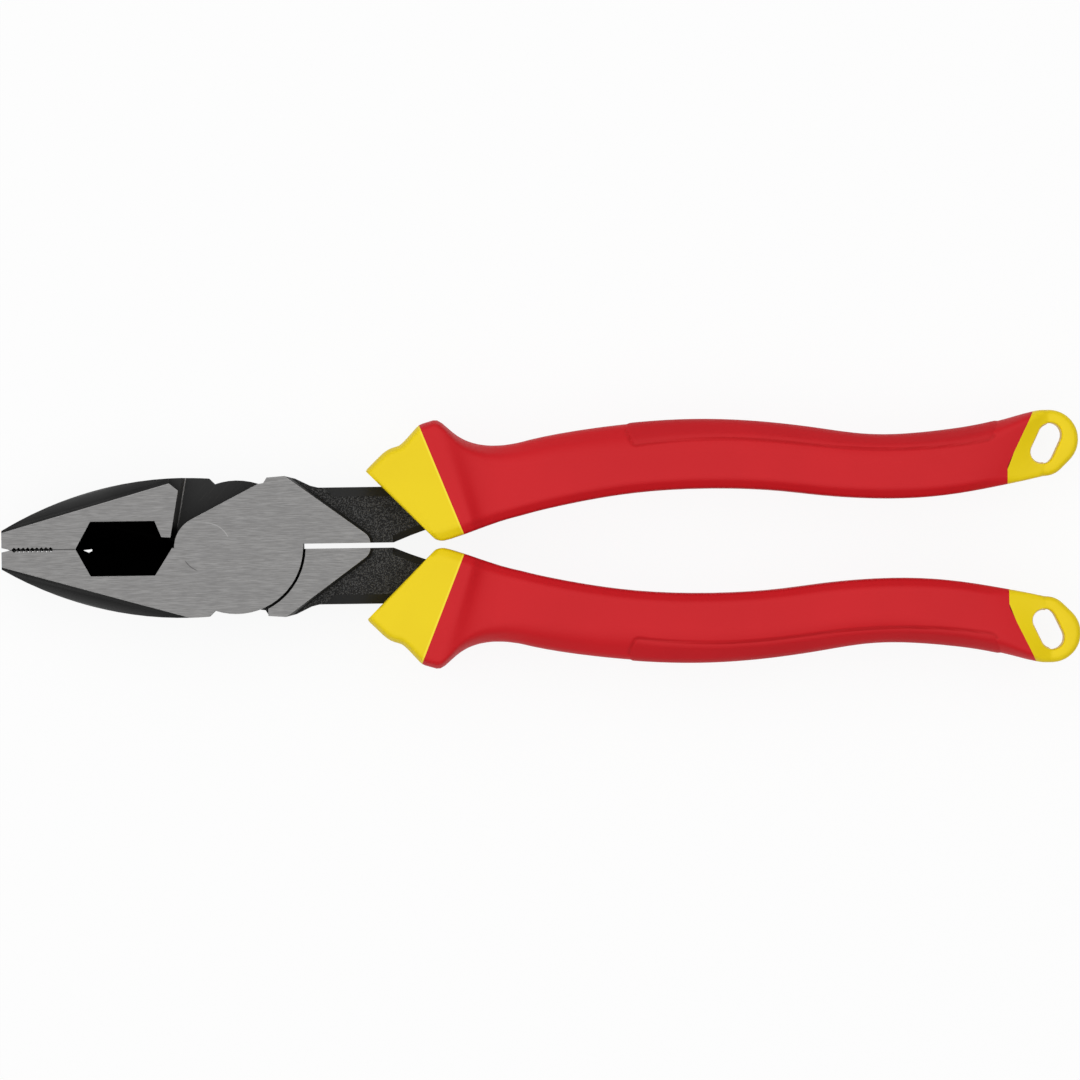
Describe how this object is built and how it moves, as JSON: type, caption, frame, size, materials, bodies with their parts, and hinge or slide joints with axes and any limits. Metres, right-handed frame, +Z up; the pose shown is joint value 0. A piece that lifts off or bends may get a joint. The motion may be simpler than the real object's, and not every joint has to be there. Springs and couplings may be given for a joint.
{
  "type": "insulated lineman pliers",
  "caption": "Insulated lineman pliers: two lapped forged steel halves on a flush rivet, with a cutter pocket, gripping teeth and guarded two-shot handle grips that end in lanyard eyes.",
  "frame": {"origin": "on the surface that the tool lies on, under the middle of its length, on the line where the closed halves meet", "axes": "+X from the jaws to the handles, along the closed tool; +Y towards the front half's handle; +Z up, along the rivet, towards the face with the cutter pocket"},
  "size_m": [0.2506, 0.0588, 0.027],
  "materials": {
    "forged_steel": "ground bright on the faces, rough black oxide elsewhere",
    "rivet_steel": "ground flush with the face",
    "yellow_sleeve": "moulded, satin",
    "red_grip": "moulded, soft matt",
    "red_pad": "moulded, soft matt"
  },
  "bodies": {
    "back_body": {"back_half": "forged_steel", "rivet": "rivet_steel", "back_sleeve": "yellow_sleeve", "back_grip": "red_grip", "back_pad": "red_pad"},
    "front_body": {"front_half": "forged_steel", "front_sleeve": "yellow_sleeve", "front_grip": "red_grip", "front_pad": "red_pad"}
  },
  "joints": [
    {"name": "jaw_pivot", "type": "hinge", "parent": "back_body", "child": "front_body", "pos_m": [-0.07785, 0, 0.0135], "axis": [0, 0, 1], "range_deg": [0, 50]}
  ]
}
